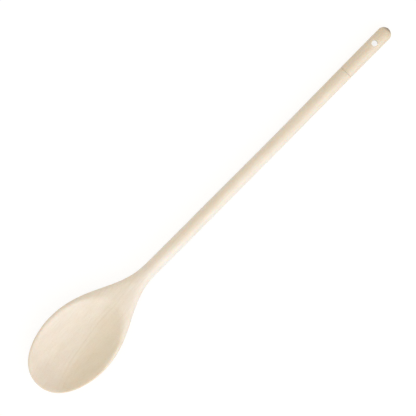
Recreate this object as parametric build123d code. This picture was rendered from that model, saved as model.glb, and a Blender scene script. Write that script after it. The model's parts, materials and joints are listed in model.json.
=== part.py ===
from build123d import *
from math import asin, atan2, cos, degrees, hypot, pi, sqrt
import os

# Wooden spoon: a long stirring spoon with an oval hollowed bowl and a slim round handle.
# While it is made, X runs from the nose of the bowl along the handle, whose axis is at y = 0 and
# z = 0, and the hollow opens upwards. At the end the spoon is laid down on its belly and handle.
# Lengths are in millimetres.

# Spoon as a whole
overall_length = 450.0
handle_end_length = 55.0

# Outline of the bowl and neck from above. The front shares are how blunt the nose is and how long
# the side stays level before the widest line. The back shares are how long it stays level behind
# the widest line and ahead of the handle. The side view's shares mean the same.
bowl_width = 68.8
bowl_front_length = 50.4
bowl_back_length = 94.8
front_outline_shares = (0.773, 0.335)
back_outline_shares = (0.44, 0.38)

# Bowl and neck from the side
nose_height = 4.5
crown_height = 4.2
floor_thickness = 5.0
front_crown_shares = (0.60, 0.45)
back_crown_shares = (0.40, 0.40)
front_belly_shares = (0.38, 0.40)
back_belly_shares = (0.30, 0.42)

# Hollow
hollow_depth = 12.0
side_rim = 1.9
nose_rim = 1.2
hollow_back_length = 50.0
rim_rounding = 1.0

# Round handle, with its waist part of the way from the neck to the end piece
neck_diameter = 13.4
waist_diameter = 12.8
joint_diameter = 13.0
tip_diameter = 13.2
waist_place_share = 0.68

# Glued joint between the shaft and the end piece: a tenon in a socket, with eased edges
tenon_diameter = 7.0
glue_gap = 0.1
socket_end_gap = 1.0
socket_depth_share = 0.62
joint_easing = 0.4
tenon_easing_share = 0.1

# Hanging hole
hole_diameter = 5.5
hole_from_tip = 18.2
hole_rounding = 0.4

# Fullness of a quarter of a cross section: how long its curve stays upright at the side and level
# at the middle line, as shares of its height and width, in a round, over and under the bowl.
# Behind the widest line the sections turn into a round, the upper quarters from a share of the
# way to the neck.
round_shares = (0.5523, 0.5523)
bowl_top_shares = (0.70, 0.80)
bowl_underside_shares = (0.26, 0.50)
top_turn_start_share = 0.5

# Places of the cross sections along the front and the back of the bowl, and counts of steps
front_section_shares = (0.07, 0.14, 0.22, 0.31, 0.42, 0.55, 0.70, 0.85)
back_section_shares = (0.0, 0.12, 0.24, 0.36, 0.48, 0.60, 0.72, 0.84, 0.94, 1.0)
quarter_steps = 8
belly_search_steps = 400
halvings = 50
joining_tolerance = 0.01

# Where the main parts lie along the spoon
neck_end = bowl_front_length + bowl_back_length
joint_place = overall_length - handle_end_length
shaft_length = joint_place - neck_end
hole_place = overall_length - hole_from_tip
socket_radius = tenon_diameter / 2 + glue_gap
socket_depth = (handle_end_length - hole_from_tip - hole_diameter / 2) * socket_depth_share
tenon_length = socket_depth - socket_end_gap
tenon_easing = tenon_diameter * tenon_easing_share


def bezier_value(values, t):
    """One coordinate of a cubic curve at t, from the same coordinate of its four points."""
    start, leave, arrive, end = values
    s = 1 - t
    return start * s**3 + 3 * leave * s**2 * t + 3 * arrive * s * t**2 + end * t**3


def bezier_share_at(values, wanted):
    """The t at which a coordinate that only grows reaches the wanted value."""
    low, high = 0, 1
    for _ in range(halvings):
        middle = (low + high) / 2
        if bezier_value(values, middle) < wanted:
            low = middle
        else:
            high = middle
    return (low + high) / 2


def swelling(x, full, shares_in_front, shares_behind):
    """A size that swells from zero at the nose to full at the widest line, then eases down or up
    to the neck's radius. The shares set how blunt the nose is and how long each end stays level."""
    if x <= bowl_front_length:
        bluntness, level = shares_in_front
        places = (0, 0, bowl_front_length * (1 - level), bowl_front_length)
        heights = (0, full * bluntness, full, full)
    else:
        level, neck_level = shares_behind
        places = (
            bowl_front_length,
            bowl_front_length + bowl_back_length * level,
            neck_end - bowl_back_length * neck_level,
            neck_end,
        )
        heights = (full, full, neck_diameter / 2, neck_diameter / 2)
    return bezier_value(heights, bezier_share_at(places, x))


def half_width(x):
    """Half the width of the bowl or neck."""
    return swelling(x, bowl_width / 2, front_outline_shares, back_outline_shares)


def widest_line_height(x):
    """Height of the line along which the sides are widest: raised at the nose, level at the neck."""
    return nose_height * (1 + cos(pi * x / neck_end)) / 2


def crown(x):
    """Rise of the uncut top above the widest line."""
    return swelling(x, crown_height, front_crown_shares, back_crown_shares)


def crest_height(x):
    """Height of the uncut top along the middle."""
    return widest_line_height(x) + crown(x)


def top_rise(side):
    """Rise of the uncut top above the widest line, side away from the middle of the bowl."""
    upright_share, level_share = bowl_top_shares
    widths = (0, bowl_width / 2 * level_share, bowl_width / 2, bowl_width / 2)
    heights = (crown_height, crown_height, crown_height * upright_share, 0)
    return bezier_value(heights, bezier_share_at(widths, side))


# The hollow is part of an ellipsoid. Its ends lie on the crest, nose_rim behind the nose and
# hollow_back_length behind the widest line, and its sides pass side_rim inside the bowl's edge.
hollow_front = nose_rim
hollow_back = bowl_front_length + hollow_back_length
hollow_run = hollow_back - hollow_front
hollow_rise = crest_height(hollow_back) - crest_height(hollow_front)
hollow_half_length = hypot(hollow_run, hollow_rise) / 2
hollow_tilt = degrees(atan2(hollow_rise, hollow_run))
hollow_middle = (hollow_front + hollow_back) / 2
hollow_top = (crest_height(hollow_front) + crest_height(hollow_back)) / 2
hollow_bottom = hollow_top - hollow_depth
hollow_half_width = bowl_width / 2 - side_rim
side_depth = widest_line_height(hollow_middle) + top_rise(hollow_half_width) - hollow_bottom
hollow_radius = (hollow_half_width**2 + side_depth**2) / (2 * side_depth)
hollow_long_radius = hollow_half_length / sqrt(1 - (1 - hollow_depth / hollow_radius) ** 2)

# The belly hangs as far below the widest line as the hollow and the floor under it need.
belly_depth = widest_line_height(bowl_front_length) - hollow_bottom + floor_thickness


def belly(x):
    """Drop of the underside below the widest line, along the middle."""
    return swelling(x, belly_depth, front_belly_shares, back_belly_shares)


def turned_shares(x, bowl_shares, start_share):
    """Shares of a quarter section: the bowl's own, and round at the neck."""
    along = (x - bowl_front_length) / bowl_back_length
    turned = min(max((along - start_share) / (1 - start_share), 0), 1)
    roundness = (1 - cos(pi * turned)) / 2
    return [own + (full - own) * roundness for own, full in zip(bowl_shares, round_shares)]


def quarter_points(side, rise, shares):
    """Points of a quarter section, from its widest point up or down to the middle line."""
    upright_share, level_share = shares
    widths = (side, side, side * level_share, 0)
    heights = (0, rise * upright_share, rise, rise)
    steps = [step / quarter_steps for step in range(quarter_steps + 1)]
    return [(bezier_value(widths, t), bezier_value(heights, t)) for t in steps]


def cross_section(x):
    """Closed outline of the uncut blank across its length, from the middle of the underside."""
    top_shares = turned_shares(x, bowl_top_shares, top_turn_start_share)
    above = quarter_points(half_width(x), crown(x), top_shares)
    below = quarter_points(half_width(x), -belly(x), turned_shares(x, bowl_underside_shares, 0))
    right_side = below[:0:-1] + above[:-1]
    left_side = [(-side, rise) for side, rise in above[:0:-1] + below[:-1]]
    level = widest_line_height(x)
    points = [(x, side, level + rise) for side, rise in right_side + left_side]
    knots = [step / len(points) for step in range(len(points) + 1)]
    return Wire(Edge.make_spline(points, periodic=True, parameters=knots))


def blank():
    """Bowl and neck before the hollow is cut."""
    level = front_outline_shares[1]
    front_places = (0, 0, bowl_front_length * (1 - level), bowl_front_length)
    sections = [Vertex(0, 0, nose_height)]
    for share in front_section_shares:
        sections.append(cross_section(bezier_value(front_places, share)))
    for share in back_section_shares:
        sections.append(cross_section(bowl_front_length + bowl_back_length * share))
    return Solid.make_loft(sections)


def hollow_cutter():
    """Ellipsoid of revolution about a line above the bowl, tipped to meet the crest at both ends."""
    half_profile = EllipticalCenterArc((0, 0), hollow_long_radius, hollow_radius, 0, arc_size=180)
    axle = Line(half_profile @ 1, half_profile @ 0)
    profile = make_face([half_profile, axle])
    ellipsoid = revolve(Plane.XZ * profile, Axis.X)
    lifted = Pos(0, 0, hollow_radius - hollow_depth) * ellipsoid
    return Pos(hollow_middle, 0, hollow_top) * Rot(0, -hollow_tilt, 0) * lifted


def rim_edge(hollowed):
    """The closed edge between the hollow and the top of the bowl."""
    for edge in hollowed.edges():
        reach = edge.bounding_box()
        if reach.min.X > hollow_front / 2 and reach.max.X < (hollow_back + neck_end) / 2:
            return edge


def shaft_and_tenon():
    """Round handle from the neck to the joint, slimmest at its waist, and the tenon beyond it."""
    waist_place = neck_end + shaft_length * waist_place_share
    neck_point = (neck_end, neck_diameter / 2)
    waist_point = (waist_place, waist_diameter / 2)
    joint_point = (joint_place - joint_easing, joint_diameter / 2)
    side = Spline(neck_point, waist_point, joint_point, tangents=[(1, 0), (1, 0)])
    rest = Polyline(
        joint_point,
        (joint_place, joint_diameter / 2 - joint_easing),
        (joint_place, tenon_diameter / 2),
        (joint_place + tenon_length - tenon_easing, tenon_diameter / 2),
        (joint_place + tenon_length, tenon_diameter / 2 - tenon_easing),
        (joint_place + tenon_length, 0),
        (neck_end, 0),
        neck_point,
    )
    return revolve(make_face([side, rest]), Axis.X)


def spoon_body():
    """Bowl, neck and shaft, one piece of wood, with the tenon that holds the end piece."""
    hollowed = blank() - hollow_cutter()
    rounded = fillet(rim_edge(hollowed), rim_rounding)
    return rounded.fuse(shaft_and_tenon(), tol=joining_tolerance)


def hole_edges(drilled):
    """The edges of the hanging hole at both of its mouths."""
    mouths = []
    for edge in drilled.edges():
        reach = edge.bounding_box()
        if reach.min.X > hole_place - hole_diameter and reach.max.X < hole_place + hole_diameter:
            mouths.append(edge)
    return mouths


def handle_end():
    """End of the handle: socket at the joint, hanging hole across it and a domed tip."""
    tip_radius = tip_diameter / 2
    dome = CenterArc((overall_length - tip_radius, 0), tip_radius, 0, 90)
    rest = Polyline(
        dome @ 1,
        (joint_place + joint_easing, joint_diameter / 2),
        (joint_place, joint_diameter / 2 - joint_easing),
        (joint_place, socket_radius),
        (joint_place + socket_depth, socket_radius),
        (joint_place + socket_depth, 0),
        dome @ 0,
    )
    turned = revolve(make_face([dome, rest]), Axis.X)
    drill = Pos(hole_place, 0, 0) * Cylinder(hole_diameter / 2, 2 * tip_diameter)
    drilled = turned - drill
    return fillet(hole_edges(drilled), hole_rounding)


def laid_down(pieces):
    """The pieces lying on the belly and the handle end, with the origin in the middle of the
    whole spoon's box and level with what it lies on."""
    stations = [neck_end * step / belly_search_steps for step in range(belly_search_steps + 1)]
    lowest, lowest_place = min((widest_line_height(x) - belly(x), x) for x in stations)
    tip_place = overall_length - tip_diameter / 2
    drop = -lowest - tip_diameter / 2
    tilt = degrees(asin(drop / (tip_place - lowest_place)))
    tipped = {name: Rot(0, tilt, 0) * piece for name, piece in pieces.items()}
    boxes = [piece.bounding_box() for piece in tipped.values()]
    back = min(box.min.X for box in boxes)
    front = max(box.max.X for box in boxes)
    bottom = min(box.min.Z for box in boxes)
    place = Pos(-(back + front) / 2, 0, -bottom)
    return {name: place * piece for name, piece in tipped.items()}


os.makedirs("parts", exist_ok=True)
pieces = laid_down({"spoon_body": spoon_body(), "handle_end": handle_end()})
for name, piece in pieces.items():
    export_step(piece, f"parts/{name}.step")
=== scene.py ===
import json
from math import asin, atan2, cos, hypot, pi, radians, sin, sqrt

import bmesh
import bpy
import numpy as np
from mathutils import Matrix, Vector, noise


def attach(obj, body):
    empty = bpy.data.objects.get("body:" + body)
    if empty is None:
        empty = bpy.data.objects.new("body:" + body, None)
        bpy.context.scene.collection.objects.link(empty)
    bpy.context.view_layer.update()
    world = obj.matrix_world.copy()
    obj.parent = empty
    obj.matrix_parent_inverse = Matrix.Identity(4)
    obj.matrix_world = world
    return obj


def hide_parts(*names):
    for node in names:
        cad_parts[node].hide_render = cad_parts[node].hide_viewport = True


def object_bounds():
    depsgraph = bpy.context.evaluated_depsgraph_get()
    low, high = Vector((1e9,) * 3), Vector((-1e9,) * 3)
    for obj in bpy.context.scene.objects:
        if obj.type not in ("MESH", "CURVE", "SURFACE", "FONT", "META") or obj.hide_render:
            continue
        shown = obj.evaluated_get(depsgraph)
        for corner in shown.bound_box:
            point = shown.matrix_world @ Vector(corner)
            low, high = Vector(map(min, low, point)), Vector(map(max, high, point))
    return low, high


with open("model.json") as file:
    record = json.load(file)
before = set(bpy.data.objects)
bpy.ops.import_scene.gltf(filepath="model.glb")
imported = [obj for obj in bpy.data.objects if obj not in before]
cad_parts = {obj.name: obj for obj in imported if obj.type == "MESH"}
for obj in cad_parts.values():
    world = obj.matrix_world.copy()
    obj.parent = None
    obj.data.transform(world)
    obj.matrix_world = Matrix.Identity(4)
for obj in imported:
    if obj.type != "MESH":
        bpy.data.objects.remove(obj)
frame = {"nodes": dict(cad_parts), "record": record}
cad_low, cad_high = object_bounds()

# Wooden spoon, lying on its belly and its handle end. Its nose points to -X and its handle to +X.
# Lengths of the wood are in millimetres, and everything handed to Blender is in metres. The spoon
# is made straight, from x = 0 at its nose and with its handle's axis on the X axis, and then laid
# down as the frame's hanging hole says.
MILLIMETRE = 0.001
HANGING_HOLE = next(mount for mount in frame["record"]["mounts"] if mount["name"] == "hanging_hole")
HOLE_POINT = [place / MILLIMETRE for place in HANGING_HOLE["pos_m"]]
HOLE_RADIUS = HANGING_HOLE["dims"]["r_mm"]
TILT = asin(HANGING_HOLE["axis"][0])

# Spoon as a whole
OVERALL_LENGTH = 450.0
HANDLE_END_LENGTH = 55.0
HOLE_FROM_TIP = 18.2

# Outline of the bowl and neck from above, and the same surfaces from the side. The first two shares
# of each are how blunt the nose is and how long the line stays level ahead of the widest line, the
# last two how long it stays level behind the widest line and ahead of the handle.
BOWL_WIDTH = 68.8
BOWL_FRONT_LENGTH = 50.4
BOWL_BACK_LENGTH = 94.8
OUTLINE_SHARES = (0.773, 0.335, 0.44, 0.38)
NOSE_HEIGHT = 4.5
CROWN_HEIGHT = 4.2
CROWN_SHARES = (0.60, 0.45, 0.40, 0.40)
FLOOR_THICKNESS = 5.0
BELLY_SHARES = (0.38, 0.40, 0.30, 0.42)

# Fullness of a quarter of a cross section: how long its curve stays upright at the side and level
# at the middle line, over and under the bowl and in a round. Behind the widest line the bowl's
# sections turn into a round, the upper ones from a share of the way to the neck.
TOP_SHARES = (0.70, 0.80)
UNDERSIDE_SHARES = (0.26, 0.50)
ROUND_SHARES = (0.5523, 0.5523)
TOP_TURN_START_SHARE = 0.5

# Hollow: its depth, the rim left beside it and ahead of it, and how far it runs behind the widest
# line. The softness is the height over which its edge is rounded off. At the nose that starts
# smaller, and grows by as much as the way along until it is full.
HOLLOW_DEPTH = 12.0
SIDE_RIM = 2.1
NOSE_RIM = 1.2
HOLLOW_BACK_LENGTH = 50.0
RIM_SOFTNESS = 1.85
NOSE_SOFTNESS = 0.5

# The hollow was cut by hand, so at the widest line it lies a little to one side, and it runs
# a little off the spoon's own line, by so much for each millimetre along
HOLLOW_SHIFT = -0.8
HOLLOW_LEAN = 0.014

# The neck bows a little to one side and the handle to the other: how far, where and over what length
BOWS = ((0.6, 112.0, 36.0), (-0.25, 310.0, 50.0))

# Round handle, with its waist part of the way from the neck to the end piece, and the tenon of the
# joint with that piece, with eased edges
NECK_DIAMETER = 13.4
WAIST_DIAMETER = 12.8
JOINT_DIAMETER = 13.0
WAIST_PLACE_SHARE = 0.68
JOINT_EASING = 0.4
TENON_DIAMETER = 7.0
TENON_LENGTH = 20.1
TENON_EASING = 0.7

# The shaft's eased edge at the joint was sanded flush on the -Y side: the share of the easing left
# on the other side, and where round the handle it fades, in shares of the radius across
EASING_LEFT_SHARE = 0.8
EASING_FADE_SHARES = (-0.5, 0.0)

# How evenly the wood was sanded: the deepest dip, and how far apart the dips lie along and across
SANDING_DEPTH = 0.05
SANDING_RUN = 26.0
SANDING_SPREAD = 9.0

# Density of the mesh, as counts of steps and as steps in millimetres, the angle in degrees from
# which an edge is sharp, and the least length that a direction is worked out from
FRONT_STEPS = 120
HOLLOW_STEP = 0.45
NECK_STEP = 1.2
SHAFT_STEP = 2.5
TOP_STEPS = 128
UNDERSIDE_STEPS = 24
HALVINGS = 40
SHARP_ANGLE = 30
LEAST_LENGTH = 1e-9

# Where the main parts lie along the spoon
NECK_END = BOWL_FRONT_LENGTH + BOWL_BACK_LENGTH
HOLLOW_BACK = BOWL_FRONT_LENGTH + HOLLOW_BACK_LENGTH
JOINT_PLACE = OVERALL_LENGTH - HANDLE_END_LENGTH
HOLE_PLACE = OVERALL_LENGTH - HOLE_FROM_TIP

# Noise in the wood: the length and width of its patches, how many finer layers it has and where in
# the noise it starts. The roughness is how strong each finer layer is, the middle is the noise's
# mean, and the limits cut the flecks out of theirs.
WOBBLES = (60, 14, 2, 3.1)
RING_PATCHES = (70, 8, 2, 7.7)
FIBRES = (22, 0.55, 3, 1.3)
FLECKS = (2.2, 0.33, 1, 5.9)
CLOUDS = (70, 12, 2, 9.2)
BLOTCHES = (13, 6, 2, 4.4)
NOISE_ROUGHNESS = 0.55
NOISE_MIDDLE = 0.5
FLECK_LIMITS = (0.63, 0.74)

# Growth rings: how far apart they lie, how sharply each darkens towards its edge, how far they
# wobble, over what length they bend to run along the handle, and the limits of the noise that
# hides or shows them
RING_SPACING = 3.7
RING_SHARPNESS = 3.0
RING_WOBBLE = 2.4
RING_BEND = 60.0
RING_LIMITS = (0.42, 0.68)

# Rings that show as lines in the bowl: the share of them left in the neck, and the limits along the
# spoon between which they reach their full strength from the neck and from the nose
LINES_LEFT_SHARE = 0.35
LINE_NECK_LIMITS = (-95, -140)
LINE_NOSE_LIMITS = (-214, -190)

# Painted light: a pale patch where the bowl meets the neck, on the lit -Y side, that the yellower tint
# leaves out: its limits along the spoon, the one in the bowl on a slant, and its limits across
PAINTED_LIGHT_SLANT = -1.2
PAINTED_LIGHT_BOWL_LIMITS = (-98, -125)
PAINTED_LIGHT_SHAFT_LIMITS = (-70, -10)
PAINTED_LIGHT_SIDE_LIMITS = (0, 6)

# Middle of the dark streak on the shaft, partly painted shade, and the tip's side with painted shade
STREAK_Y = 2.1
SHADED_TIP_SIDE = (0.985, 0.17, 0.0)

# Tints of the wood. Each multiplies the colour as far as the product of its measures says, and a
# measure with two limits goes from 0 at the first to 1 at the second. x and y are places in the
# laid-down spoon, in millimetres from its middle, and the other lengths are in millimetres too.
ALONG_SHAFT = (("x", -95, -70), ("x", 190, 80))
TINTS = {
    "clouds": ((0.97, 0.955, 0.93), ("clouds", 0.3, 0.7)),
    "blotches": ((0.98, 0.972, 0.96), ("blotches", 0.35, 0.65)),
    "fibres": ((0.963, 0.949, 0.926), ("fibres", 0.35, 0.7)),
    "growth rings": ((0.965, 0.95, 0.925), ("rings",)),
    "rings that show as lines": ((0.95, 0.93, 0.90), ("lines",)),
    "flecks": ((0.91, 0.875, 0.82), ("flecks",)),
    "end grain": ((0.80, 0.73, 0.64), ("end_on", 0.60, 1.0)),
    # Painted shade: the end of the tip that faces away from the key light is darkened
    "painted shade on the tip's far end": ((0.42, 0.36, 0.30), ("facing_shaded_tip", 0.55, 0.97), ("x", 215, 222)),
    # Painted light: all the wood is yellowed but the lit -Y side by the neck, which stays paler
    "yellower outside the painted light by the neck": ((0.985, 0.968, 0.925), ("off_painted_light",)),
    # Painted light: the shaft's side that faces the key is paler and whiter
    "painted light on the shaft's lit -Y side": ((1.0, 1.06, 1.14), ("facing_y", -0.35, -0.95), *ALONG_SHAFT),
    # Painted sheen: the shaft's edge that faces +Y is paler and whiter
    "painted sheen on the shaft's +Y side": ((1.02, 1.06, 1.13), ("facing_y", 0.62, 1.0), *ALONG_SHAFT),
    # Partly a grain streak and partly painted shade: a darker, yellower band just +Y of the shaft's
    # middle
    "streak and painted shade on the shaft": ((0.99, 0.965, 0.92), ("from_streak", 2.4, 0.3), *ALONG_SHAFT),
    # Painted shade: the hollow's lit +Y wall is dimmed between its back and its nose
    "painted shade on the hollow's lit +Y wall": ((0.955, 0.95, 0.955), ("y", 14, 26), ("x", -112, -142), ("x", -214, -196)),
    # Painted shade: the hollow's -Y wall, which faces away from the key, is darkened
    "painted shade on the hollow's -Y wall": ((0.965, 0.972, 0.96), ("y", -11, -21), ("y", -31, -27), ("x", -138, -152)),
    # Painted light: the bowl's lit rim on the -Y side is paler and whiter
    "painted light on the bowl's lit -Y rim": ((1.0, 1.05, 1.11), ("y", -26, -31), ("x", -180, -158), ("x", -118, -140)),
    # Painted shade: the nose, which faces away from the light, is darkened
    "nose": ((0.95, 0.945, 0.95), ("x", -196, -220)),
    "tip": ((0.955, 0.928, 0.875), ("x", 205, 220)),
    # Partly tan wood past the marked ring and partly painted shade: the hollow's wall that faces away
    # from the key is darker
    "tan wood and painted shade in the hollow": ((0.975, 0.955, 0.905), ("field", 34.0, 22.0), ("x", -112, -150)),
    # Darker and browner towards the handle's end
    "darker towards the handle's end": ((0.925, 0.90, 0.845), ("x", 10, 215)),
    # Painted light: the drilled hole's wall is lightened against the shade inside it
    "painted light inside the hole": ((1.16, 1.2, 1.25), ("past_hole", 0.5, 0.1)),
}

# Finish of the wood: how much fibres, flecks and rings stand out, roughness, gloss, and the light
# that passes under the surface, with how far each colour of it goes
BUMP_STRENGTH = 0.35
BUMP_HEIGHT = 0.06
FIBRE_RISE = 0.5
FLECK_RISE = -0.5
RING_RISE = 0.4
ROUGHNESS = 0.36
FIBRE_ROUGHNESS = 0.16
GLOSS = 1.0
SUBSURFACE = 0.35
SUBSURFACE_SHARES = (1.0, 0.55, 0.3)
SUBSURFACE_DEPTH = 3.0

# Photograph: its side in pixels, the length and middle of the spoon's box in it, and the angle of
# the spoon's axis in degrees
PHOTO_SIDE = 416
PHOTO_LENGTH = 499.8
PHOTO_MIDDLE = (213.0, 206.6)
PHOTO_ANGLE = 45.28

# Camera, in metres
LENS = 1.500
SENSOR = 0.036
CLIP_END = 100

# Light, with angles in degrees, and floor, in metres
WHITE = (1, 1, 1, 1)
AMBIENT = 0.86
AMBIENT_COLOUR = (1.0, 0.987, 0.95)
KEY_STRENGTH = 1.18
KEY_COLOUR = (0.92, 1.0, 1.16)
KEY_ELEVATION = 26
KEY_AZIMUTH = 13
KEY_SPREAD = 70
FLOOR_HALF = 30
FLOOR_BOUNCE = (0.72, 0.72, 0.72)
FLOOR_COLOUR = (0.195, 0.185, 0.17)
FLOOR_GLOW = 0.85

# Places of the Mix node's two colours among its inputs, and of the mixed colour among its outputs
MIX_COLOUR = 6
MIX_TINT = 7
MIX_RESULT = 2


# Surfaces of the spoon


def bezier(values, t):
    """One coordinate of a cubic curve at t, from the same coordinate of its four points."""
    start, leave, arrive, end = values
    s = 1 - t
    return start * s**3 + 3 * leave * s**2 * t + 3 * arrive * s * t**2 + end * t**3


def bezier_share_at(values, wanted):
    """The t at which a coordinate that only grows reaches each wanted value."""
    low = np.zeros_like(wanted)
    high = np.ones_like(wanted)
    for _ in range(HALVINGS):
        middle = (low + high) / 2
        below = bezier(values, middle) < wanted
        low = np.where(below, middle, low)
        high = np.where(below, high, middle)
    return (low + high) / 2


def front_places(level):
    """Where along the spoon the four points of a curve over the front of the bowl lie."""
    return (0, 0, BOWL_FRONT_LENGTH * (1 - level), BOWL_FRONT_LENGTH)


def swelling(x, full, shares):
    """A size that swells from zero at the nose to full at the widest line, then eases down or up
    to the neck's radius."""
    bluntness, level, back_level, neck_level = shares
    neck = NECK_DIAMETER / 2
    back_places = (
        BOWL_FRONT_LENGTH,
        BOWL_FRONT_LENGTH + BOWL_BACK_LENGTH * back_level,
        NECK_END - BOWL_BACK_LENGTH * neck_level,
        NECK_END,
    )
    in_front = bezier((0, full * bluntness, full, full), bezier_share_at(front_places(level), x))
    behind = bezier((full, full, neck, neck), bezier_share_at(back_places, x))
    return np.where(x <= BOWL_FRONT_LENGTH, in_front, behind)


def half_width(x):
    """Half of the bowl's or neck's width."""
    return swelling(x, BOWL_WIDTH / 2, OUTLINE_SHARES)


def widest_line_height(x):
    """Height of the line where the spoon is widest, down from the nose to the handle's axis."""
    return NOSE_HEIGHT * (1 + np.cos(pi * np.minimum(x, NECK_END) / NECK_END)) / 2


def crown(x):
    """Rise of the uncut top over the widest line."""
    return swelling(x, CROWN_HEIGHT, CROWN_SHARES)


def at_one_place(size, x):
    """A size that is worked out for many places at once, at the one place x."""
    return float(size(np.array([x]))[0])


def crest_height(x):
    """Height of the uncut top's middle line."""
    return at_one_place(widest_line_height, x) + at_one_place(crown, x)


def quarter(side, rise, shares, t):
    """Widths and heights of a quarter section at t, from its widest point to the middle line."""
    upright, level = shares
    return bezier((side, side, side * level, 0), t), bezier((0, rise * upright, rise, rise), t)


def turning_round(x, shares, start):
    """The bowl's own shares, and behind the widest line more and more those of a round."""
    along = np.clip((x - BOWL_FRONT_LENGTH) / BOWL_BACK_LENGTH, 0, 1)
    roundness = (1 - np.cos(pi * np.clip((along - start) / (1 - start), 0, 1))) / 2
    return [own + (full - own) * roundness for own, full in zip(shares, ROUND_SHARES)]


def top_rise_at(side):
    """Rise of the uncut top above the widest line, side away from the middle line."""
    half = BOWL_WIDTH / 2
    upright, level = TOP_SHARES
    t = bezier_share_at((0, half * level, half, half), np.array([side]))
    return float(bezier((CROWN_HEIGHT, CROWN_HEIGHT, CROWN_HEIGHT * upright, 0), t)[0])


# The hollow is the lower half of an ellipsoid, tilted so that its rim meets the crest at both ends
HOLLOW_RUN = HOLLOW_BACK - NOSE_RIM
HOLLOW_RISE = crest_height(HOLLOW_BACK) - crest_height(NOSE_RIM)
HOLLOW_HALF_LENGTH = hypot(HOLLOW_RUN, HOLLOW_RISE) / 2
HOLLOW_TILT = atan2(HOLLOW_RISE, HOLLOW_RUN)
HOLLOW_MIDDLE = (NOSE_RIM + HOLLOW_BACK) / 2
HOLLOW_TOP = (crest_height(NOSE_RIM) + crest_height(HOLLOW_BACK)) / 2
HOLLOW_BOTTOM = HOLLOW_TOP - HOLLOW_DEPTH
HOLLOW_HALF_WIDTH = BOWL_WIDTH / 2 - SIDE_RIM
SIDE_RIM_HEIGHT = at_one_place(widest_line_height, HOLLOW_MIDDLE) + top_rise_at(HOLLOW_HALF_WIDTH)
SIDE_DEPTH = SIDE_RIM_HEIGHT - HOLLOW_BOTTOM
HOLLOW_RADIUS = (HOLLOW_HALF_WIDTH**2 + SIDE_DEPTH**2) / (2 * SIDE_DEPTH)
HOLLOW_LONG_RADIUS = HOLLOW_HALF_LENGTH / sqrt(1 - (1 - HOLLOW_DEPTH / HOLLOW_RADIUS) ** 2)
BELLY_TOP = at_one_place(widest_line_height, BOWL_FRONT_LENGTH)
BELLY_DEPTH = BELLY_TOP - HOLLOW_BOTTOM + FLOOR_THICKNESS


def hollow_height(x, y):
    """Height of the ellipsoid's lower half under each place, and far up outside of it."""
    along, across = np.broadcast_arrays(x - HOLLOW_MIDDLE, y)
    lift = HOLLOW_RADIUS - HOLLOW_DEPTH
    stretch = HOLLOW_RADIUS / HOLLOW_LONG_RADIUS
    c = cos(HOLLOW_TILT)
    s = sin(HOLLOW_TILT)
    # A place (along, h) is u = along c + h s and v = h c - along s - lift in the tilted frame, and
    # lies on the ellipsoid where (u stretch)^2 + v^2 = radius^2 - across^2.
    a = (s * stretch) ** 2 + c**2
    b = along * c * s * stretch**2 - c * (along * s + lift)
    level = (along * c * stretch) ** 2 + (along * s + lift) ** 2 + across**2 - HOLLOW_RADIUS**2
    under = b**2 - a * level
    height = (-b - np.sqrt(np.maximum(under, 0))) / a
    return np.where(under > 0, HOLLOW_TOP + height, HOLLOW_TOP + HOLLOW_RADIUS)


def soft_minimum(first, second, softness):
    """The lower of two heights, with the crease between them rounded off."""
    share = np.clip((second - first) / softness / 2 + 1 / 2, 0, 1)
    return second + (first - second) * share - softness * share * (1 - share)


def section_places():
    """Where along the spoon the rings across the bowl and the neck lie, as a column."""
    front = bezier(front_places(OUTLINE_SHARES[1]), np.linspace(0, 1, FRONT_STEPS + 1)[1:])
    hollow_end = HOLLOW_BACK + SIDE_RIM
    back = np.arange(BOWL_FRONT_LENGTH + HOLLOW_STEP, hollow_end, HOLLOW_STEP)
    neck = np.linspace(hollow_end, NECK_END, int((NECK_END - hollow_end) / NECK_STEP) + 1)
    return np.concatenate([front, back, neck])[:, None]


def section_tops(x):
    """Widths and heights of the tops from the +Y side to the other, with the hollow cut in."""
    t = np.linspace(0, 1, TOP_STEPS // 2 + 1)[None, :]
    y, rise = quarter(half_width(x), crown(x), turning_round(x, TOP_SHARES, TOP_TURN_START_SHARE), t)
    y = np.concatenate([y, -y[:, -2::-1]], axis=1)
    rise = np.concatenate([rise, rise[:, -2::-1]], axis=1)
    shift = HOLLOW_SHIFT + HOLLOW_LEAN * (x - BOWL_FRONT_LENGTH)
    softness = np.minimum(RIM_SOFTNESS, NOSE_SOFTNESS + x)
    return y, soft_minimum(widest_line_height(x) + rise, hollow_height(x, y - shift), softness)


def section_undersides(x):
    """Widths and heights of the undersides from the middle line out to the +Y side."""
    t = np.linspace(1, 0, UNDERSIDE_STEPS + 1)[None, :-1]
    drop = swelling(x, BELLY_DEPTH, BELLY_SHARES)
    y, drop = quarter(half_width(x), drop, turning_round(x, UNDERSIDE_SHARES, 0), t)
    return y, widest_line_height(x) - drop


def section_rings():
    """Rings of points across the bowl and neck, from the middle of the underside round the +Y
    side, over the top and back round the other side."""
    x = section_places()
    top_y, top_z = section_tops(x)
    under_y, under_z = section_undersides(x)
    y = np.concatenate([under_y, top_y, -under_y[:, :0:-1]], axis=1)
    z = np.concatenate([under_z, top_z, under_z[:, :0:-1]], axis=1)
    return np.stack([np.broadcast_to(x, y.shape), y, z], axis=2)


def turned_rings(profile, template):
    """Rings round the handle's axis at each (place, radius), with the template ring's angles."""
    angle = np.arctan2(template[:, 2], template[:, 1])
    place, radius = np.array(profile).T[..., None]
    y = radius * np.cos(angle)
    z = radius * np.sin(angle)
    return np.stack([np.broadcast_to(place, y.shape), y, z], axis=2)


def eased(start, end, share):
    """From start to end, gently at both."""
    return start + (end - start) * share**2 * (3 - 2 * share)


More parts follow.
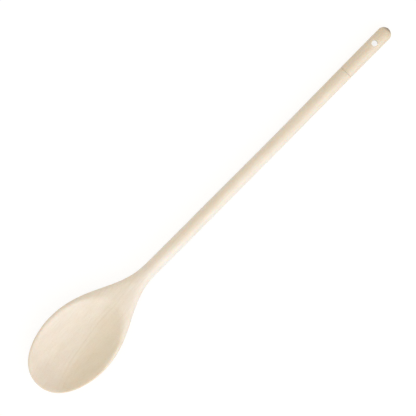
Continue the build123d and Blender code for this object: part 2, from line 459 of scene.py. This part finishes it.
def shaft_profile():
    """Places and radii along the shaft, slimmest at its waist."""
    end = JOINT_PLACE - JOINT_EASING
    waist = NECK_END + (JOINT_PLACE - NECK_END) * WAIST_PLACE_SHARE
    places = np.linspace(NECK_END, end, int((end - NECK_END) / SHAFT_STEP) + 1)[1:]
    radii = [
        eased(NECK_DIAMETER, WAIST_DIAMETER, (x - NECK_END) / (waist - NECK_END)) / 2
        if x < waist
        else eased(WAIST_DIAMETER, JOINT_DIAMETER, (x - waist) / (end - waist)) / 2
        for x in places
    ]
    return list(zip(places, radii))


def joint_profile():
    """Places and radii from the shaft's eased edge down its end and along the tenon."""
    tenon_radius = TENON_DIAMETER / 2
    return [
        (JOINT_PLACE, JOINT_DIAMETER / 2 - JOINT_EASING),
        (JOINT_PLACE, tenon_radius),
        (JOINT_PLACE + TENON_LENGTH - TENON_EASING, tenon_radius),
        (JOINT_PLACE + TENON_LENGTH, tenon_radius - TENON_EASING),
    ]


def sanded_flush(ring):
    """The eased edge's ring, brought back out to the shaft's radius where it was sanded flush."""
    outwards = ring * (0, 1, 1) / (JOINT_DIAMETER / 2 - JOINT_EASING)
    start, end = EASING_FADE_SHARES
    across = np.clip((outwards[:, 1:2] - start) / (end - start), 0, 1)
    left = eased(0, EASING_LEFT_SHARE, across)
    return ring + outwards * (1 - left) * JOINT_EASING


def bowed(rings):
    """The rings moved sideways where the neck and the handle bow."""
    moved = rings.copy()
    for bow, place, run in BOWS:
        moved[..., 1] += bow * np.exp(-(((rings[..., 0] - place) / run) ** 2))
    return moved


def sanded(rings):
    """The rings with shallow dips into the wood, as hand sanding leaves them."""
    ahead = np.roll(rings, -1, axis=1) - np.roll(rings, 1, axis=1)
    along = np.gradient(rings, axis=0)
    normal = np.cross(ahead, along)
    normal /= np.maximum(np.linalg.norm(normal, axis=2, keepdims=True), LEAST_LENGTH)
    stretched = rings / np.array([SANDING_RUN, SANDING_SPREAD, SANDING_SPREAD])
    dips = [noise.noise(Vector(point)) for point in stretched.reshape(-1, 3)]
    depth = SANDING_DEPTH * (1 - np.array(dips).reshape(rings.shape[:2])) / 2
    return rings - normal * depth[..., None]


def laid_down(points):
    """Points of the straight spoon as they lie in the frame, tipped round the hanging hole."""
    x, y, z = np.moveaxis(points, -1, 0)
    x = x - HOLE_PLACE
    tipped = np.stack([x * cos(TILT) + z * sin(TILT), y, z * cos(TILT) - x * sin(TILT)], axis=-1)
    return tipped * MILLIMETRE + np.array(HANGING_HOLE["pos_m"])


def ring_mesh(name, rings, nose, tail):
    """Closed mesh through the rings, with a point at each end."""
    count, around = rings.shape[:2]
    vertices = np.concatenate([rings.reshape(-1, 3), [nose, tail]])
    first = np.arange(count - 1)[:, None] * around + np.arange(around)[None, :]
    beside = np.arange(count - 1)[:, None] * around + (np.arange(around)[None, :] + 1) % around
    quads = np.stack([first, beside, beside + around, first + around], -1).reshape(-1, 4)
    faces = quads.tolist()
    nose_point = count * around
    tail_point = nose_point + 1
    last_ring = nose_point - around
    for here in range(around):
        following = (here + 1) % around
        faces.append((following, here, nose_point))
        faces.append((last_ring + here, last_ring + following, tail_point))
    mesh = bpy.data.meshes.new(name)
    mesh.from_pydata(vertices.tolist(), [], faces)
    mesh.update()
    return mesh


def finish_faces(mesh):
    """All faces outwards, and smooth except over edges as sharp as the joint's."""
    edit = bmesh.new()
    edit.from_mesh(mesh)
    bmesh.ops.recalc_face_normals(edit, faces=edit.faces)
    edit.to_mesh(mesh)
    edit.free()
    mesh.polygons.foreach_set("use_smooth", [True] * len(mesh.polygons))
    mesh.set_sharp_from_angle(angle=radians(SHARP_ANGLE))


def spoon_body():
    """Bowl, neck, shaft and tenon as one closed skin."""
    bowl = section_rings()
    shaft = turned_rings(shaft_profile(), bowl[-1])
    joint = turned_rings(joint_profile(), bowl[-1])
    joint[0] = sanded_flush(joint[0])
    rings = bowed(np.concatenate([bowl, shaft, joint]))
    nose = np.array([0, 0, NOSE_HEIGHT])
    tail = rings[-1].mean(axis=0)
    mesh = ring_mesh("spoon_body_wood", laid_down(sanded(rings)), laid_down(nose), laid_down(tail))
    finish_faces(mesh)
    body = bpy.data.objects.new("spoon_body_wood", mesh)
    bpy.context.scene.collection.objects.link(body)
    return body


# Shader nodes


def add_node(tree, kind, inputs=(), **settings):
    """A shader node with its settings and inputs. Each input goes by its name or its place, and is
    a value or another node's output."""
    made = tree.nodes.new(kind)
    for name, value in settings.items():
        setattr(made, name, value)
    for place, value in dict(inputs).items():
        if isinstance(value, bpy.types.NodeSocket):
            tree.links.new(value, made.inputs[place])
        else:
            made.inputs[place].default_value = value
    return made


def calc(tree, operation, *values):
    """Output of a math node."""
    return add_node(tree, "ShaderNodeMath", enumerate(values), operation=operation).outputs[0]


def vector_calc(tree, operation, *values):
    """Output of a vector math node, a number for a distance or a dot product."""
    made = add_node(tree, "ShaderNodeVectorMath", enumerate(values), operation=operation)
    return made.outputs["Value" if operation in ("DISTANCE", "DOT_PRODUCT") else "Vector"]


def ramp(tree, value, low, high):
    """0 at low and beyond, 1 at high and beyond, and a smooth step between them."""
    inputs = {"Value": value, "From Min": low, "From Max": high}
    made = add_node(tree, "ShaderNodeMapRange", inputs, interpolation_type="SMOOTHSTEP")
    return made.outputs["Result"]


def tinted(tree, colour, share, tint, label):
    """The colour multiplied by the tint, as far as the share says. The label names the node."""
    inputs = {"Factor": share, MIX_COLOUR: colour, MIX_TINT: tint}
    mix = add_node(tree, "ShaderNodeMix", inputs, data_type="RGBA", blend_type="MULTIPLY", label=label)
    return mix.outputs[MIX_RESULT]


def stretched_noise(tree, place, run, spread, detail, seed):
    """Noise in patches run long and spread across, in millimetres."""
    moved = vector_calc(tree, "MULTIPLY_ADD", place, (1 / run, 1 / spread, 1 / spread), (seed,) * 3)
    inputs = {"Vector": moved, "Scale": 1, "Detail": detail, "Roughness": NOISE_ROUGHNESS}
    return add_node(tree, "ShaderNodeTexNoise", inputs).outputs["Fac"]


# Wood


def ring_field(tree, place, slope, slope_end, lean):
    """Distance across the growth rings, nearly square to them, in millimetres."""
    x, y, z = add_node(tree, "ShaderNodeSeparateXYZ", {0: place}).outputs
    run = calc(tree, "MULTIPLY", calc(tree, "SMOOTH_MIN", x, slope_end, RING_BEND), -slope)
    rise = calc(tree, "MULTIPLY", z, lean)
    field = calc(tree, "ADD", calc(tree, "ADD", y, run), rise)
    wobble = calc(tree, "SUBTRACT", stretched_noise(tree, place, *WOBBLES), NOISE_MIDDLE)
    return calc(tree, "MULTIPLY_ADD", wobble, RING_WOBBLE, field)


def growth_rings(tree, place, field):
    """Growth rings that darken towards one edge and show in patches."""
    rings = calc(tree, "FRACT", calc(tree, "DIVIDE", field, RING_SPACING))
    rings = calc(tree, "POWER", rings, RING_SHARPNESS)
    showing = ramp(tree, stretched_noise(tree, place, *RING_PATCHES), *RING_LIMITS)
    return calc(tree, "MULTIPLY", rings, showing)


def ring_lines(tree, x, field, marked):
    """Single rings that show as lines, each a (distance in the ring field, half width, strength)."""
    lines = 0.0
    for level, width, strength in marked:
        away = calc(tree, "ABSOLUTE", calc(tree, "SUBTRACT", field, level))
        line = calc(tree, "MULTIPLY", ramp(tree, away, width, 0.0), strength)
        lines = calc(tree, "MAXIMUM", lines, line)
    from_neck = ramp(tree, x, *LINE_NECK_LIMITS)
    fading = calc(tree, "MULTIPLY_ADD", from_neck, 1 - LINES_LEFT_SHARE, LINES_LEFT_SHARE)
    fading = calc(tree, "MULTIPLY", fading, ramp(tree, x, *LINE_NOSE_LIMITS))
    return calc(tree, "MULTIPLY", lines, fading)


def place_measures(tree, place):
    """Measures that go by the place in the wood alone."""
    x, y = add_node(tree, "ShaderNodeSeparateXYZ", {0: place}).outputs[:2]
    # Share of the wood that lies outside the painted light by the neck
    from_bowl = ramp(tree, calc(tree, "MULTIPLY_ADD", y, PAINTED_LIGHT_SLANT, x), *PAINTED_LIGHT_BOWL_LIMITS)
    off_painted_light = calc(tree, "MAXIMUM", from_bowl, ramp(tree, x, *PAINTED_LIGHT_SHAFT_LIMITS))
    off_painted_light = calc(tree, "MAXIMUM", off_painted_light, ramp(tree, y, *PAINTED_LIGHT_SIDE_LIMITS))
    from_streak = calc(tree, "ABSOLUTE", calc(tree, "SUBTRACT", y, STREAK_Y))
    flat = add_node(tree, "ShaderNodeCombineXYZ", {"X": x, "Y": y}).outputs[0]
    from_hole = vector_calc(tree, "DISTANCE", flat, (*HOLE_POINT[:2], 0))
    past_hole = calc(tree, "SUBTRACT", from_hole, HOLE_RADIUS)
    return {"x": x, "y": y, "off_painted_light": off_painted_light, "from_streak": from_streak, "past_hole": past_hole}


def facing_measures(tree):
    """Measures that go by the way the surface faces."""
    normal = add_node(tree, "ShaderNodeNewGeometry").outputs["Normal"]
    facing_x, facing_y = add_node(tree, "ShaderNodeSeparateXYZ", {0: normal}).outputs[:2]
    end_on = calc(tree, "ABSOLUTE", facing_x)
    # How far the surface faces the tip's end away from the key, for its painted shade
    facing_shaded_tip = vector_calc(tree, "DOT_PRODUCT", normal, SHADED_TIP_SIDE)
    return {"facing_y": facing_y, "end_on": end_on, "facing_shaded_tip": facing_shaded_tip}


def grain_measures(tree, place):
    """Measures of the fine grain and of the unevenness of the wood's colour."""
    return {
        "clouds": stretched_noise(tree, place, *CLOUDS),
        "blotches": stretched_noise(tree, place, *BLOTCHES),
        "fibres": stretched_noise(tree, place, *FIBRES),
        "flecks": ramp(tree, stretched_noise(tree, place, *FLECKS), *FLECK_LIMITS),
    }


def tint_share(tree, measures, limits):
    """Product of the smooth steps that the measures make between their limits."""
    share = 1.0
    for name, *ends in limits:
        step = ramp(tree, measures[name], *ends) if ends else measures[name]
        share = calc(tree, "MULTIPLY", share, step)
    return share


def add_finish(tree, shader, measures):
    """Bare sanded wood: its grain stands out a little and is rougher than the rest, and some light
    passes under the surface."""
    flecks = calc(tree, "MULTIPLY", measures["flecks"], FLECK_RISE)
    height = calc(tree, "MULTIPLY_ADD", measures["fibres"], FIBRE_RISE, flecks)
    height = calc(tree, "MULTIPLY_ADD", measures["rings"], RING_RISE, height)
    inputs = {"Strength": BUMP_STRENGTH, "Distance": BUMP_HEIGHT * MILLIMETRE, "Height": height}
    bump = add_node(tree, "ShaderNodeBump", inputs)
    tree.links.new(bump.outputs[0], shader.inputs["Normal"])
    rough = calc(tree, "MULTIPLY_ADD", measures["fibres"], FIBRE_ROUGHNESS, ROUGHNESS)
    tree.links.new(rough, shader.inputs["Roughness"])
    shader.inputs["Specular IOR Level"].default_value = GLOSS
    shader.inputs["Subsurface Weight"].default_value = SUBSURFACE
    shader.inputs["Subsurface Radius"].default_value = SUBSURFACE_SHARES
    shader.inputs["Subsurface Scale"].default_value = SUBSURFACE_DEPTH * MILLIMETRE


def wood(name, slope, slope_end, lean, marked, tone):
    """Pale beech in this tone. slope and lean are how its growth rings run across the length and
    the height, the slope only up to slope_end, and marked lists the rings that show as lines."""
    material = bpy.data.materials.new(name)
    material.use_nodes = True
    tree = material.node_tree
    coordinates = add_node(tree, "ShaderNodeTexCoord").outputs["Object"]
    place = vector_calc(tree, "MULTIPLY", coordinates, (1 / MILLIMETRE,) * 3)
    measures = {**place_measures(tree, place), **facing_measures(tree), **grain_measures(tree, place)}
    field = ring_field(tree, place, slope, slope_end, lean)
    measures["field"] = field
    measures["rings"] = growth_rings(tree, place, field)
    measures["lines"] = ring_lines(tree, measures["x"], field, marked)
    colour = (*tone, 1)
    for label, (tint, *limits) in TINTS.items():
        colour = tinted(tree, colour, tint_share(tree, measures, limits), (*tint, 1), label)
    shader = tree.nodes["Principled BSDF"]
    tree.links.new(colour, shader.inputs["Base Color"])
    add_finish(tree, shader, measures)
    return material


# Stage


def add_camera():
    """Camera straight above the spoon, turned and placed so that the spoon lies as photographed."""
    turn = -radians(PHOTO_ANGLE)
    metres_per_pixel = (cad_high.x - cad_low.x) / PHOTO_LENGTH
    right = Vector((cos(turn), sin(turn), 0))
    up = Vector((-sin(turn), cos(turn), 0))
    offset_right = (PHOTO_MIDDLE[0] - PHOTO_SIDE / 2) * metres_per_pixel
    offset_up = (PHOTO_SIDE / 2 - PHOTO_MIDDLE[1]) * metres_per_pixel
    distance = metres_per_pixel * PHOTO_SIDE * LENS / SENSOR
    data = bpy.data.cameras.new("camera")
    data.sensor_width = SENSOR / MILLIMETRE
    data.lens = LENS / MILLIMETRE
    data.clip_end = CLIP_END
    camera = bpy.data.objects.new("camera", data)
    middle = (cad_low + cad_high) / 2
    camera.location = middle - right * offset_right - up * offset_up + Vector((0, 0, distance))
    camera.rotation_euler = (0, 0, turn)
    bpy.context.scene.collection.objects.link(camera)
    bpy.context.scene.camera = camera


def seen_directly(tree):
    """1 on rays from the camera, mirrors and glass, and 0 on the rays that light the object."""
    path = add_node(tree, "ShaderNodeLightPath").outputs
    seen = calc(tree, "MAXIMUM", path["Is Camera Ray"], path["Is Glossy Ray"])
    return calc(tree, "MAXIMUM", seen, path["Is Transmission Ray"])


def mix_by_ray(tree, for_light, for_view, output):
    """One shader on the rays that light the object, and another on those that see it."""
    both = add_node(tree, "ShaderNodeMixShader", {0: seen_directly(tree), 1: for_light, 2: for_view})
    tree.links.new(both.outputs[0], tree.nodes[output].inputs["Surface"])


def add_world():
    """White all round, and a plain level of light on the object."""
    world = bpy.data.worlds.new("world")
    world.use_nodes = True
    tree = world.node_tree
    light = tree.nodes["Background"]
    light.inputs["Color"].default_value = (*AMBIENT_COLOUR, 1)
    light.inputs["Strength"].default_value = AMBIENT
    white = add_node(tree, "ShaderNodeBackground", {"Color": WHITE, "Strength": 1})
    mix_by_ray(tree, light.outputs[0], white.outputs[0], "World Output")
    bpy.context.scene.world = world


def add_key():
    """One broad soft lamp, low on the spoon's -Y side."""
    data = bpy.data.lights.new("key", "SUN")
    data.energy = KEY_STRENGTH
    data.angle = radians(KEY_SPREAD)
    data.color = KEY_COLOUR
    key = bpy.data.objects.new("key", data)
    key.rotation_euler = (pi / 2 - radians(KEY_ELEVATION), 0, -radians(KEY_AZIMUTH))
    bpy.context.scene.collection.objects.link(key)


def floor_material():
    """White where it is seen and no shadow lies, and plain grey to the rays that light the object."""
    material = bpy.data.materials.new("floor")
    material.use_nodes = True
    tree = material.node_tree
    seen = tree.nodes["Principled BSDF"]
    seen.inputs["Base Color"].default_value = (*FLOOR_COLOUR, 1)
    seen.inputs["Roughness"].default_value = 1
    seen.inputs["Specular IOR Level"].default_value = 0
    seen.inputs["Emission Color"].default_value = WHITE
    seen.inputs["Emission Strength"].default_value = FLOOR_GLOW
    bounce = add_node(tree, "ShaderNodeBsdfDiffuse", {"Color": (*FLOOR_BOUNCE, 1)})
    mix_by_ray(tree, bounce.outputs[0], seen.outputs[0], "Material Output")
    return material


def add_floor():
    """Plain floor that keeps the spoon's shadow."""
    h = FLOOR_HALF
    mesh = bpy.data.meshes.new("floor")
    mesh.from_pydata([(-h, -h, 0), (h, -h, 0), (h, h, 0), (-h, h, 0)], [], [(0, 1, 2, 3)])
    mesh.materials.append(floor_material())
    floor = bpy.data.objects.new("floor", mesh)
    bpy.context.scene.collection.objects.link(floor)


add_camera()
add_world()
add_key()
add_floor()

# The body's rings run on a slant through the bowl and straight along the shaft, and three of them
# show as lines. Those of the end piece lean the other way, and none shows as a line.
body_wood = wood(
    "body_wood",
    slope=0.1825,
    slope_end=-70.0,
    lean=0.376,
    marked=((29.4, 1.4, 0.95), (33.2, 1.6, 0.35), (24.6, 1.6, 0.25)),
    tone=(0.845, 0.762, 0.659),
)
end_wood = wood(
    "end_wood",
    slope=0.02,
    slope_end=0.0,
    lean=-0.7,
    marked=(),
    tone=(0.839, 0.753, 0.651),
)
body = spoon_body()
body.data.materials.append(body_wood)
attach(body, "root")
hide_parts("spoon_body")
end = frame["nodes"]["handle_end"]
end.material_slots[0].material = end_wood

bpy.context.scene.view_settings.view_transform = "Standard"
